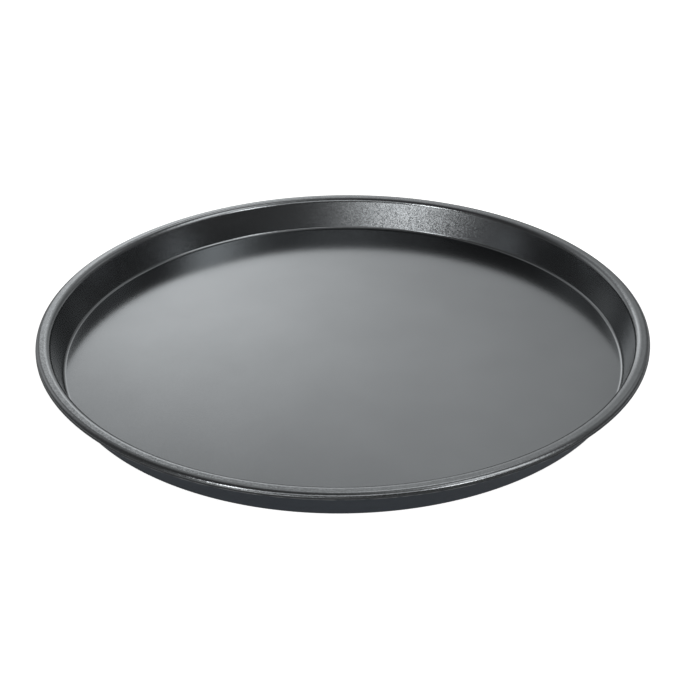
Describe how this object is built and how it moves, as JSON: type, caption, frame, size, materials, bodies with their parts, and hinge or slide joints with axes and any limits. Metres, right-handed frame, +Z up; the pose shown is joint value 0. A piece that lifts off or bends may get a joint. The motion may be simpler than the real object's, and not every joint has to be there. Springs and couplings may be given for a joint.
{
  "type": "pizza pan",
  "caption": "Round shallow pizza pan of pressed, non-stick coated steel, with an outward-leaning wall and a narrow flat rim that ends in a turned-down lip.",
  "frame": {"origin": "middle of the underside, on the surface that the pan stands on", "axes": "+Z up along the pan's axis of turning; +X to the right and +Y away from the viewer of the picture"},
  "size_m": [0.32, 0.32, 0.0195],
  "materials": {
    "inside_nonstick": "dark grey metallic non-stick coating, satin, with fine flake",
    "carbon_steel": "cold-rolled carbon steel, covered by the coatings on both sides",
    "underside_nonstick": "dark blue-grey non-stick coating, satin"
  },
  "bodies": {
    "root": {"inside_nonstick_coating": "inside_nonstick", "pressed_steel_sheet": "carbon_steel", "underside_nonstick_coating": "underside_nonstick"}
  },
  "joints": []
}
